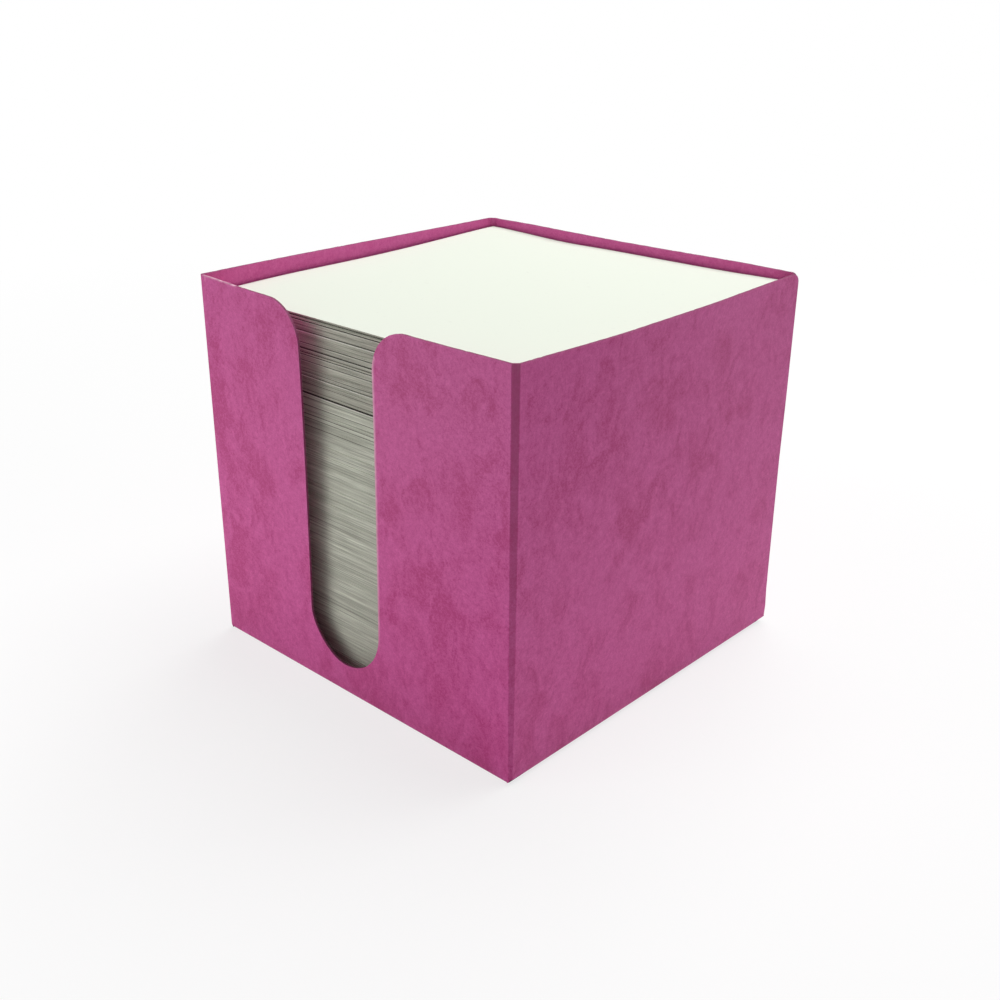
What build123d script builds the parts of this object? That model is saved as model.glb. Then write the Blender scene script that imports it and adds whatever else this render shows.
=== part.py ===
from build123d import *
from math import cos, sin, sqrt
import os

# Memo cube holder: an open box folded from one die-cut pressboard blank, filled with loose
# memo sheets. Origin at the middle of the base, +Z up, the notched front wall on the -Y side.

# Driving dimensions (mm)
sheet_side = 90.0  # square memo sheet
sheet_thickness = 0.1
board = 0.5  # pressboard
glue_film = 0.1
side_play = 2.25  # room round the sheets when they stand in the middle
stack_setback = 1.5  # the block stands this much nearer to the back and left walls
stack_jog = 0.12  # how far a layer of sheets sits out of line
wall_height = 89.7
rim_depth = 3.3  # from the rim down to the top sheet

# Thumb notch in the front wall
notch_width = 22.8
notch_shift = -2.4  # the notch sits this far off the middle of the wall
notch_bottom = 7.4
notch_corner = 9.8

# Creases: length of each leg of the small inner flat, measured on the inner faces
pressed_crease_top = 0.95  # the two creases on which the glued blank was shipped flat
pressed_crease_bottom = 0.10
plain_crease = 0.40
seam_crease = 0.20
base_bend = 0.50  # inner radius of the bends under the walls
wall_foot = 0.30  # corners of the walls start this much above the underside of their flap

# Glued seam at the right rear edge
seam_flap_width = 12.0
seam_flap_lower_end = 4.0
seam_flap_upper_end = 2.0  # below the rim
seam_flap_slant = 3.0
seam_glue_margin = 1.5
right_wall_corner = 2.1  # rounded free corner of the blank at the rim

# Interlocking base
flap_relief = 1.0  # front and back flaps are this much shorter than the wall at each end
flap_corner = 2.0
centre_gap = 0.3
hook_inset = 1.5  # from the middle of the base to the near side of a hook
hook_width = 16.0
hook_reach = 14.0
hook_corner = 4.0
joggle = 1.5  # run over which a hook climbs one board
side_flap_relief = 2.5
side_flap_reach = 26.0
side_flap_corner = 18.0
base_glue_margin = 3.0

# Paper
upper_batch_height = 17.5
single_sheet_count = 8
lower_layer_pitch = 1.1
lower_bundle_layers = 4
upper_layer_pitch = 0.6
upper_bundle_layers = 2
jog_turn_x = 1.9  # radians from one layer to the next
jog_turn_y = 2.7

# Worked out
inner_side = sheet_side + 2 * side_play
outer_side = inner_side + 2 * board
half = outer_side / 2
crease_gain = board * (2 - sqrt(2))  # an outer leg is longer than the inner one by this
bend_radius = base_bend + board
second_layer = board + glue_film  # underside of the side flaps and the hooks
floor_top = second_layer + board
seam_face = half - board - glue_film  # outer face of the seam flap
paper_top = wall_height - rim_depth
upper_batch_top = paper_top - single_sheet_count * sheet_thickness
lower_batch_top = upper_batch_top - upper_batch_height

front_side = Plane((0, -half, 0), x_dir=(1, 0, 0), z_dir=(0, 0, 1))
right_side = Plane((half, 0, 0), x_dir=(0, 1, 0), z_dir=(0, 0, 1))
back_side = Plane((0, half, 0), x_dir=(-1, 0, 0), z_dir=(0, 0, 1))
left_side = Plane((-half, 0, 0), x_dir=(0, -1, 0), z_dir=(0, 0, 1))
seam_side = Plane((seam_face, 0, 0), x_dir=(0, 1, 0), z_dir=(0, 0, 1))


# Points at one end of a wall's level section, from the inner face to the outer one.
# The outer face is on y = 0, and a crease is shared half and half with the next wall.
def end_points(corner, inward, leg):
    if leg is None:
        return [(corner, board), (corner, 0)]
    outer_leg = leg + crease_gain
    return [
        (corner + inward * (board + leg), board),
        (corner + inward * (board + leg / 2), board + leg / 2),
        (corner + inward * outer_leg / 2, outer_leg / 2),
        (corner + inward * outer_leg, 0),
    ]


# One upright panel between its two ends. Each end gives its crease at the bottom and at the
# top, or None where the board is cut square.
def upright_panel(side, start, end, start_legs, end_legs, bottom, top):
    with BuildPart() as panel:
        for height, level in ((bottom, 0), (top, 1)):
            with BuildSketch(side.offset(height)):
                with BuildLine():
                    near = end_points(start, 1, start_legs[level])
                    far = end_points(end, -1, end_legs[level])
                    Polyline(*near, *reversed(far), close=True)
                make_face()
        loft(ruled=True)
    return panel.part


# A wall is an upright panel whose lower edge is cut back to where its base flap's bend begins.
# The level is the height of that flap's underside.
def folded_wall(side, start, end, start_legs, end_legs, flap_width, level):
    with BuildPart() as wall:
        add(upright_panel(side, start, end, start_legs, end_legs, level + wall_foot, wall_height))
        with BuildSketch(side):
            with Locations((0, board / 2)):
                Rectangle(flap_width, 2 * board)
        extrude(amount=level + bend_radius, mode=Mode.SUBTRACT)
    return wall.part


# The flat part of a base flap with its bend, in the wall's frame: y runs inward from the wall.
def bent_flap(side, width, reach, level):
    section = Plane(side.origin, x_dir=side.y_dir, z_dir=side.x_dir)
    with BuildPart() as flap:
        with BuildSketch(section):
            with BuildLine():
                bend_centre = (bend_radius, level + bend_radius)
                CenterArc(bend_centre, bend_radius, 180, 90)
                Line((bend_radius, level), (reach, level))
                Line((reach, level), (reach, level + board))
                Line((reach, level + board), (bend_radius, level + board))
                CenterArc(bend_centre, base_bend, 270, -90)
                Line((board, level + bend_radius), (0, level + bend_radius))
            make_face()
        extrude(amount=width / 2, both=True)
    return flap.part


# Front or back base flap: one half runs to the middle of the base, and in the other half a
# hook climbs over the facing flap and lies on it.
def hooked_flap(side):
    section = Plane(side.origin, x_dir=side.y_dir, z_dir=side.x_dir)
    climb_start = half - joggle
    hook_middle = hook_inset + hook_width / 2
    with BuildPart() as flap:
        add(bent_flap(side, main_flap_width, half - centre_gap / 2, 0))
        fillet(flap.edges().filter_by(Axis.Z), flap_corner)
        with BuildSketch(side):
            with Locations((hook_middle, half - joggle / 2)):
                Rectangle(hook_width, joggle)
        extrude(amount=board, mode=Mode.SUBTRACT)
        with BuildSketch(section.offset(hook_inset)):
            with BuildLine():
                Polyline(
                    (climb_start, 0),
                    (half, second_layer),
                    (half + hook_reach, second_layer),
                    (half + hook_reach, floor_top),
                    (half, floor_top),
                    (climb_start, board),
                    close=True,
                )
            make_face()
        extrude(amount=hook_width)
        hook_end = flap.edges().filter_by(Axis.Z).group_by(Axis.Y)
        fillet(hook_end[-1] if side.origin.Y < 0 else hook_end[0], hook_corner)
    return flap.part


# Left or right base flap: a flat with its free corners cut off, on top of the hooked flaps.
def side_flap(side):
    with BuildPart() as flap:
        add(bent_flap(side, side_flap_width, side_flap_reach, second_layer))
        chamfer(flap.edges().filter_by(Axis.Z), side_flap_corner)
    return flap.part


# A pile of paper as bundles. Each bundle has a few layers of sheets, each a little out of line
# with the one below.
def paper_pile(bottom, top, pitch, bundle_layers):
    count = max(1, round((top - bottom) / pitch))
    thickness = (top - bottom) / count
    bundles = []
    for first in range(0, count, bundle_layers):
        with BuildPart() as bundle:
            for i in range(first, min(first + bundle_layers, count)):
                with BuildSketch(Plane.XY.offset(bottom + i * thickness)):
                    jog_x = stack_jog * sin(i * jog_turn_x)
                    jog_y = stack_jog * cos(i * jog_turn_y)
                    with Locations((jog_x - stack_setback, jog_y + stack_setback)):
                        Rectangle(sheet_side, sheet_side)
                extrude(amount=thickness)
        bundles.append(bundle.part)
    return Compound(children=bundles)


def write(shape, name):
    shape.label = name
    export_step(shape, f"parts/{name}.step")


os.makedirs("parts", exist_ok=True)

pressed = (pressed_crease_bottom, pressed_crease_top)
plain = (plain_crease, plain_crease)
seam = (seam_crease, seam_crease)
cut = (None, None)
main_flap_width = outer_side - 2 * flap_relief
side_flap_width = outer_side - 2 * (bend_radius + side_flap_relief)

# The four walls, each from the middle of one crease to the middle of the next
with BuildPart() as front_wall:
    add(folded_wall(front_side, -half, half, plain, pressed, main_flap_width, 0))
    with BuildSketch(front_side.rotated((90, 0, 0))):
        with BuildLine():
            arc_height = notch_bottom + notch_width / 2
            left_edge = notch_shift - notch_width / 2
            right_edge = notch_shift + notch_width / 2
            Line((left_edge, wall_height), (left_edge, arc_height))
            RadiusArc((left_edge, arc_height), (right_edge, arc_height), -notch_width / 2)
            Line((right_edge, arc_height), (right_edge, wall_height))
            Line((right_edge, wall_height), (left_edge, wall_height))
        make_face()
    extrude(amount=2 * board, both=True, mode=Mode.SUBTRACT)
    fillet(front_wall.edges().filter_by(Axis.Y).group_by(Axis.Z)[-1], notch_corner)
write(front_wall.part, "front_wall")

with BuildPart() as right_wall:
    add(folded_wall(right_side, -half, half, pressed, cut, side_flap_width, second_layer))
    fillet(right_wall.edges().filter_by(Axis.X).group_by(Axis.Z)[-1], right_wall_corner)
write(right_wall.part, "right_wall")

back_wall = folded_wall(back_side, -seam_face, half, seam, pressed, main_flap_width, 0)
write(back_wall, "back_wall")

left_wall = folded_wall(left_side, -half, half, pressed, plain, side_flap_width, second_layer)
write(left_wall, "left_wall")

# The flap on the rear end of the blank, glued to the inside of the right wall
seam_flap_top = wall_height - seam_flap_upper_end
seam_flap_edge = half - seam_flap_width
with BuildPart() as seam_flap:
    add(upright_panel(seam_side, seam_flap_edge, half, cut, seam, seam_flap_lower_end, seam_flap_top))
    free_corners = seam_flap.edges().filter_by(Axis.X).sort_by(Axis.Y)[:2]
    chamfer(free_corners, seam_flap_slant)
write(seam_flap.part, "seam_flap")

with BuildPart() as seam_glue:
    with BuildSketch(Plane.YZ.offset(seam_face)):
        glue_front = seam_flap_edge + seam_glue_margin
        glue_back = half - bend_radius - seam_glue_margin
        glue_bottom = seam_flap_lower_end + seam_flap_slant
        glue_top = seam_flap_top - seam_flap_slant
        with Locations(((glue_front + glue_back) / 2, (glue_bottom + glue_top) / 2)):
            Rectangle(glue_back - glue_front, glue_top - glue_bottom)
    extrude(amount=glue_film)
write(seam_glue.part, "seam_glue")

# The base
write(hooked_flap(front_side), "front_base_flap")
write(hooked_flap(back_side), "back_base_flap")
write(side_flap(right_side), "right_base_flap")
write(side_flap(left_side), "left_base_flap")

# Each side flap is glued to one hooked flap: the right one to the front, the left to the back
with BuildPart() as base_glue:
    with BuildSketch(Plane.XY.offset(board)):
        glue_outer = half - bend_radius - base_glue_margin
        glue_inner = half - side_flap_reach + base_glue_margin
        glue_end = side_flap_width / 2 - base_glue_margin
        with PolarLocations(0, 2):
            Polygon(
                (glue_outer, -glue_end),
                (glue_outer, -base_glue_margin),
                (glue_inner, -base_glue_margin),
                align=None,
            )
    extrude(amount=glue_film)
write(base_glue.part, "base_glue")

# The paper: two packets as they were put in, and single sheets on top
lower_batch = paper_pile(floor_top, lower_batch_top, lower_layer_pitch, lower_bundle_layers)
write(lower_batch, "lower_batch")
upper_batch = paper_pile(lower_batch_top, upper_batch_top, upper_layer_pitch, upper_bundle_layers)
write(upper_batch, "upper_batch")
for i in range(single_sheet_count):
    with BuildPart() as sheet:
        with BuildSketch(Plane.XY.offset(upper_batch_top + i * sheet_thickness)):
            jog_x = stack_jog * cos(i * jog_turn_x)
            jog_y = stack_jog * sin(i * jog_turn_y)
            with Locations((jog_x - stack_setback, jog_y + stack_setback)):
                Rectangle(sheet_side, sheet_side)
        extrude(amount=sheet_thickness)
    write(sheet.part, f"sheet_{i + 1}")
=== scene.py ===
import bisect
import math
import random
import bmesh
import bpy
from mathutils import Matrix, Vector, kdtree, noise
from mathutils.geometry import delaunay_2d_cdt


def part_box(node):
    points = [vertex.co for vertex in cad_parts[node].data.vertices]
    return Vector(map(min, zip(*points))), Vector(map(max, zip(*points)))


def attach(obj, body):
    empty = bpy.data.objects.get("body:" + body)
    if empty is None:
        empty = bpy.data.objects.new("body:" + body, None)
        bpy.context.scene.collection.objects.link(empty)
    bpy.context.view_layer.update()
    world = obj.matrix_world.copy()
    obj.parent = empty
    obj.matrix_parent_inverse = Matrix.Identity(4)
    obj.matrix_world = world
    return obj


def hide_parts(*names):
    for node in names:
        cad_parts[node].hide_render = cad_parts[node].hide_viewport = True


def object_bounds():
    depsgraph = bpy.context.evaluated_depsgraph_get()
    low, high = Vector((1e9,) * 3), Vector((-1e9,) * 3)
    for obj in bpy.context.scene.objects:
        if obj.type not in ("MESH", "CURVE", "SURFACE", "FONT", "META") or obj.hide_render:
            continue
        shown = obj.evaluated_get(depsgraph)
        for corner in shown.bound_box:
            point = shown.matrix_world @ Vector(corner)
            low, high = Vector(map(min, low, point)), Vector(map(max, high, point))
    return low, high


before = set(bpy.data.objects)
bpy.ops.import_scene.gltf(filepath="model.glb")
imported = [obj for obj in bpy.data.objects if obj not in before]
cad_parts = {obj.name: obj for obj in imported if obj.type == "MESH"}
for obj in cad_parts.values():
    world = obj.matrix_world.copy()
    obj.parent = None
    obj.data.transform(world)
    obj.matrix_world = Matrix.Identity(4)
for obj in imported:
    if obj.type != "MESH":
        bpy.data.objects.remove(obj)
cadLow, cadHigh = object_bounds()
mm = 0.001
print("frame loaded")


# Memo cube holder: one blank of dyed pressboard, cut flat and folded into an open box with a
# thumb notch, and the loose sheets that fill it. Lengths in the settings are in millimetres
# where no note says otherwise.

def newPiece(name, verts, faces, materials, faceSlots=None):
    mesh = bpy.data.meshes.new(name)
    mesh.from_pydata([Vector(v) * mm for v in verts], [], faces)
    for material in materials:
        mesh.materials.append(material)
    if faceSlots:
        mesh.polygons.foreach_set("material_index", faceSlots)
    mesh.update()
    piece = bpy.data.objects.new(name, mesh)
    bpy.context.scene.collection.objects.link(piece)
    return piece


# Gives each point of a piece a value, which its material reads by the label
def setMark(piece, label, values):
    piece.data.attributes.new(label, "FLOAT", "POINT").data.foreach_set("value", values)


# Turns the faces outward, and keeps the edges sharp where the surface turns by more than the angle
def shadeByAngle(piece, degrees):
    shape = bmesh.new()
    shape.from_mesh(piece.data)
    bmesh.ops.recalc_face_normals(shape, faces=shape.faces)
    limit = math.radians(degrees)
    for face in shape.faces:
        face.smooth = True
    for edge in shape.edges:
        edge.smooth = edge.calc_face_angle(math.pi) < limit
    shape.to_mesh(piece.data)
    shape.free()


# Shader helpers

# Gives each named or numbered input of a node its value, or links it to the output given
def fill(tree, node, values):
    for label, value in values.items():
        if isinstance(value, bpy.types.NodeSocket):
            tree.links.new(value, node.inputs[label])
        else:
            node.inputs[label].default_value = value
    return node


def addNode(tree, kind, values, **settings):
    node = tree.nodes.new(kind)
    for label, value in settings.items():
        setattr(node, label, value)
    return fill(tree, node, values)


def addMath(tree, operation, a, b, clamp=False):
    node = addNode(tree, "ShaderNodeMath", {0: a, 1: b}, operation=operation, use_clamp=clamp)
    return node.outputs[0]


# A mix node's inputs 6 and 7 and its output 2 are the ones for colours
def addMix(tree, factor, a, b, blend="MIX"):
    values = {0: factor, 6: a, 7: b}
    return addNode(tree, "ShaderNodeMix", values, data_type="RGBA", blend_type=blend).outputs[2]


def addRange(tree, value, low, high, newLow=0.0, newHigh=1.0):
    values = {"Value": value, "From Min": low, "From Max": high, "To Min": newLow, "To Max": newHigh}
    return addNode(tree, "ShaderNodeMapRange", values).outputs["Result"]


def addPlace(tree):
    return tree.nodes.new("ShaderNodeTexCoord").outputs["Object"]


def addMark(tree, label):
    return addNode(tree, "ShaderNodeAttribute", {}, attribute_name=label).outputs["Fac"]


seedDirection = (1.0, 0.7, 1.3)


# Noise at the surface's own place. The size is that of one patch in mm, and stretch draws it out.
def addNoise(tree, size, seed, detail=2.0, roughness=0.5, distortion=0.0, stretch=(1, 1, 1), turn=0.0):
    mapping = addNode(tree, "ShaderNodeMapping", {
        "Vector": addPlace(tree),
        "Scale": [1 / (mm * share) for share in stretch],
        "Location": [seed * share for share in seedDirection],
        "Rotation": (turn, turn, 0),
    })
    texture = addNode(tree, "ShaderNodeTexNoise", {
        "Vector": mapping.outputs[0],
        "Scale": addMath(tree, "DIVIDE", 1.0, size),
        "Detail": detail,
        "Roughness": roughness,
        "Distortion": distortion,
    })
    return texture.outputs["Fac"]


# Noise drawn out to run from 0 to 1 between its limits, with patches of a share of the size
def addField(tree, size, limits, share=1, **shape):
    if share != 1:
        size = addMath(tree, "MULTIPLY", size, share)
    return addRange(tree, addNoise(tree, size, **shape), *limits)


def newGroup(name, inputs, outputs):
    tree = bpy.data.node_groups.new(name, "ShaderNodeTree")
    for label, value in inputs.items():
        socket = tree.interface.new_socket(label, in_out="INPUT", socket_type="NodeSocketFloat")
        socket.default_value = value
    for label in outputs:
        tree.interface.new_socket(label, in_out="OUTPUT", socket_type="NodeSocketFloat")
    return tree, tree.nodes.new("NodeGroupInput").outputs, tree.nodes.new("NodeGroupOutput")


def useGroup(tree, group, values):
    return addNode(tree, "ShaderNodeGroup", values, node_tree=group).outputs


def addFibres(tree, look):
    return useGroup(tree, fibreGrain, {"Fibre Size": look["fibreSize"]})


# Short pressed fibres: a grain with finer points in it, and the few fibres that stand out

fibreFields = {
    "Grain": {"seed": 3.1, "detail": 3.0, "roughness": 0.6, "distortion": 0.4, "limits": (0.3, 0.7)},
    "Points": {"share": 0.4, "seed": 5.7, "detail": 1.0, "limits": (0.3, 0.7)},
    "Fleck": {"seed": 17.0, "roughness": 0.6, "stretch": (2.4, 2.4, 1.0), "limits": (0.66, 0.74)},
}


def makeFibreGrain():
    tree, taken, given = newGroup("fibreGrain", {"Fibre Size": 0.6}, fibreFields)
    for label, field in fibreFields.items():
        fill(tree, given, {label: addField(tree, taken["Fibre Size"], **field)})
    return tree


# Uneven dye: soft darker clouds that come in clusters, and a closer mottle all over

dyeSettings = {
    "shape": {
        "seed": 5.3, "detail": 5.0, "roughness": 0.66, "distortion": 0.8,
        "stretch": (1, 1, 1.5), "turn": 0.5,
    },
    "clusterSize": 4.0,  # times the cloud size
    "clusterSeed": 9.0,
    "clusterShare": 0.6,
    "start": 1.10,  # where a cloud starts with no cover, and how far full cover moves that
    "coverShare": 0.6,
    "softness": 0.22,
    "mottle": {
        "share": 0.28, "seed": 11.0, "detail": 3.0, "roughness": 0.6, "distortion": 0.5,
        "limits": (0.3, 0.7),
    },
}


def makeDyeClouds():
    dye = dyeSettings
    tree, taken, given = newGroup("dyeClouds", {"Cloud Size": 6.0, "Cover": 0.5}, ("Clouds", "Mottle"))
    size = taken["Cloud Size"]
    clusterSize = addMath(tree, "MULTIPLY", size, dye["clusterSize"])
    cluster = addNoise(tree, clusterSize, dye["clusterSeed"])
    cluster = addMath(tree, "MULTIPLY", cluster, dye["clusterShare"])
    gathered = addMath(tree, "ADD", addNoise(tree, size, **dye["shape"]), cluster)
    cover = addMath(tree, "MULTIPLY", taken["Cover"], dye["coverShare"])
    start = addMath(tree, "SUBTRACT", dye["start"], cover)
    clouds = addRange(tree, gathered, start, addMath(tree, "ADD", start, dye["softness"]))
    fill(tree, given, {"Clouds": clouds, "Mottle": addField(tree, size, **dye["mottle"])})
    return tree


# Level lines in a cut stack: single sheets, and broader bands of them

stackFields = {
    "Line": {"seed": 2.0, "detail": 3, "roughness": 0.6, "stretch": (40, 40, 1), "limits": (0.36, 0.64)},
    "Band": {"seed": 8.0, "detail": 1.0, "stretch": (30, 30, 1), "limits": (0.35, 0.65)},
}


def makeSheetLines():
    tree, taken, given = newGroup("sheetLines", {"Line Pitch": 0.5, "Band Pitch": 2.0}, stackFields)
    for label, field in stackFields.items():
        fill(tree, given, {label: addField(tree, taken[label + " Pitch"], **field)})
    return tree


fibreGrain = makeFibreGrain()
dyeClouds = makeDyeClouds()
sheetLines = makeSheetLines()


# Materials. In each look, bump is the strength of the relief and its depth.

def newMaterial(name, look):
    material = bpy.data.materials.new(name)
    material.use_nodes = True
    tree = material.node_tree
    shader = tree.nodes["Principled BSDF"]
    fill(tree, shader, {"Roughness": look["roughness"], "Specular IOR Level": look["specular"]})
    return material, tree, shader


# A material whose colour and relief are what its paint function adds to it
def newFinish(name, look, paint):
    material, tree, shader = newMaterial(name, look)
    colour, relief = paint(tree, look)
    strength, depth = look["bump"]
    values = {"Strength": strength, "Distance": depth * mm, "Height": relief}
    bump = addNode(tree, "ShaderNodeBump", values)
    fill(tree, shader, {"Base Color": colour, "Normal": bump.outputs["Normal"]})
    return material


boardLooks = {
    "pressboardOuter": {
        "thickDye": (0.520, 0.032, 0.212, 1),
        "thinDye": (0.808, 0.143, 0.468, 1),
        "cloudSize": 5.5,
        "cover": 0.60,
        "fibreSize": 0.65,
        "shares": {"Clouds": -0.38, "Mottle": 0.26, "Grain": 0.34, "Points": 0.30},
        "foot": (0.15, 1.04),  # share of the wall's height, and the painted light that brightens the foot up to there
        "rim": (0.90, 0.92),  # and from there on, painted shade that darkens the rim
        "roughness": 0.50,
        "specular": 0.40,
        "bump": (0.35, 0.02),
    },
    # The inner face is a rougher copy of the board with lighter dyes; the lighter dye is partly its own
    # finish and partly painted light
    "pressboardInner": {
        "thickDye": (0.610, 0.053, 0.262, 1),
        "thinDye": (0.860, 0.188, 0.505, 1),
        "cloudSize": 7.0,
        "cover": 0.40,
        "fibreSize": 0.65,
        "shares": {"Clouds": -0.20, "Mottle": 0.20, "Grain": 0.30, "Points": 0.25},
        "foot": (0.15, 1.0),
        "rim": (0.90, 1.0),
        "roughness": 0.62,
        "specular": 0.30,
        "bump": (0.4, 0.02),
    },
}
wearAndHighlightLooks = {  # colour and strength of the marks along creases and rims; the pale rim mark is wear and a painted highlight
    "creaseRub": ((0.700, 0.110, 0.370, 1), 0.35),
    "creaseWear": ((0.330, 0.040, 0.140, 1), 0.90),
    "rimWearAndHighlight": ((0.920, 0.530, 0.680, 1), 1.00),
}
leastMark = 0.7  # share of a mark's strength that is left where the mottle is lowest


def paintPressboard(tree, look):
    clouds = useGroup(tree, dyeClouds, {"Cloud Size": look["cloudSize"], "Cover": look["cover"]})
    fibres = addFibres(tree, look)
    fields = {"Clouds": clouds, "Mottle": clouds, "Grain": fibres, "Points": fibres}
    # Apart from the clouds, the tone lies about the middle between the two dyes
    tone = 0.5 - sum(share for label, share in look["shares"].items() if label != "Clouds") / 2
    for label, share in look["shares"].items():
        tone = addMath(tree, "ADD", tone, addMath(tree, "MULTIPLY", fields[label][label], share))
    colour = addMix(tree, tone, look["thickDye"], look["thinDye"])
    # Painted light and shade on the walls: the colour is multiplied brighter toward the foot and darker
    # toward the rim
    place = addNode(tree, "ShaderNodeSeparateXYZ", {0: addPlace(tree)})
    (low, paintedFootLight), (high, paintedRimShade) = look["foot"], look["rim"]
    level = addRange(tree, place.outputs["Z"], low * cadHigh.z, high * cadHigh.z, paintedFootLight, paintedRimShade)
    colour = addMix(tree, 1.0, colour, level, "MULTIPLY")
    # Crease marks are wear; the rim's pale mark is wear and a painted highlight
    for label, (shade, strength) in wearAndHighlightLooks.items():
        uneven = addRange(tree, clouds["Mottle"], 0.0, 1.0, strength * leastMark, strength)
        colour = addMix(tree, addMath(tree, "MULTIPLY", addMark(tree, label), uneven), colour, shade)
    return colour, addMath(tree, "ADD", fibres["Grain"], clouds["Mottle"])


# The cut edge is dark partly in its own colour and partly by painted shade
cutEdgeLook = {
    "pale": (0.34, 0.07, 0.18, 1),
    "dark": (0.20, 0.03, 0.09, 1),
    "fibreSize": 0.3,
    "roughness": 0.85,
    "specular": 0.2,
    "bump": (0.6, 0.05),
}


def paintCutEdge(tree, look):
    grain = addFibres(tree, look)["Grain"]
    colour = addMix(tree, grain, look["dark"], look["pale"])
    # The rim's pale mark on the cut edge too: wear and a painted highlight
    return addMix(tree, addMark(tree, "rimWearAndHighlight"), colour, wearAndHighlightLooks["rimWearAndHighlight"][0]), grain


paperFaceLook = {
    "face": (0.88, 0.925, 0.82, 1),
    "fleck": (0.60, 0.60, 0.54, 1),
    "fleckShare": 0.12,
    "fibreSize": 0.5,
    "roughness": 0.8,
    "specular": 0.2,
    "bump": (0.2, 0.01),
}


def paintPaperFace(tree, look):
    fibres = addFibres(tree, look)
    share = addMath(tree, "MULTIPLY", fibres["Fleck"], look["fleckShare"])
    return addMix(tree, share, look["face"], look["fleck"]), fibres["Grain"]


paperEdgeLook = {
    "linePitch": 0.34,
    "bandPitch": 2.0,
    "Line": 0.9,  # how far the lines darken the edge
    "roughness": 0.9,
    "specular": 0.15,
    "bump": (0.3, 0.03),
}
paperEdgeTones = {  # colours, and how far the bands darken each packet
    "lower_batch": {"pale": (0.890, 0.920, 0.785, 1), "dark": (0.470, 0.480, 0.400, 1), "Band": 0.55},
    "upper_batch": {"pale": (0.685, 0.685, 0.578, 1), "dark": (0.330, 0.330, 0.277, 1), "Band": 0.35},
}
standShadeAndHighlight = {  # painted shade where a sheet stands back and painted highlight where it stands out: colour, and how far for the full colour, in mm
    "back": ((0.040, 0.036, 0.030, 1), 0.38),
    "out": ((0.82, 0.82, 0.74, 1), -0.14),
}


def paintPaperEdge(tree, look):
    lines = useGroup(tree, sheetLines, {"Line Pitch": look["linePitch"], "Band Pitch": look["bandPitch"]})
    colour = look["pale"]
    for label in ("Line", "Band"):
        share = addMath(tree, "MULTIPLY", lines[label], look[label])
        colour = addMix(tree, share, colour, look["dark"])
    # Painted shade where a sheet stands back, painted highlight where it stands out
    setBack = addMark(tree, "setBack")
    for shade, full in standShadeAndHighlight.values():
        colour = addMix(tree, addRange(tree, setBack, 0.0, full), colour, shade)
    return colour, lines["Line"]


glueLook = {
    "film": (0.72, 0.66, 0.52, 1),
    "thick": (0.80, 0.76, 0.64, 1),
    "fibreSize": 1.5,
    "roughness": 0.35,
    "specular": 0.5,
    "bump": (0.2, 0.03),
}


def paintGlue(tree, look):
    grain = addFibres(tree, look)["Grain"]
    return addMix(tree, grain, look["film"], look["thick"]), grain


boardOuter, boardInner = [newFinish(name, look, paintPressboard) for name, look in boardLooks.items()]
cutEdge = newFinish("pressboardCutEdge", cutEdgeLook, paintCutEdge)
paperFace = newFinish("memoPaperFace", paperFaceLook, paintPaperFace)
paperEdges = {}
for node, tones in paperEdgeTones.items():
    look = {**paperEdgeLook, **tones}
    paperEdges[node] = newFinish("memoPaperEdge_" + node, look, paintPaperEdge)
driedGlue = newFinish("driedGlue", glueLook, paintGlue)
print("materials made")


# The blank. A point of it is given by s, the distance along the walls from the right wall's free
# rear edge, and z, the height on the walls, which runs on below them down the base flaps.

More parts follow.
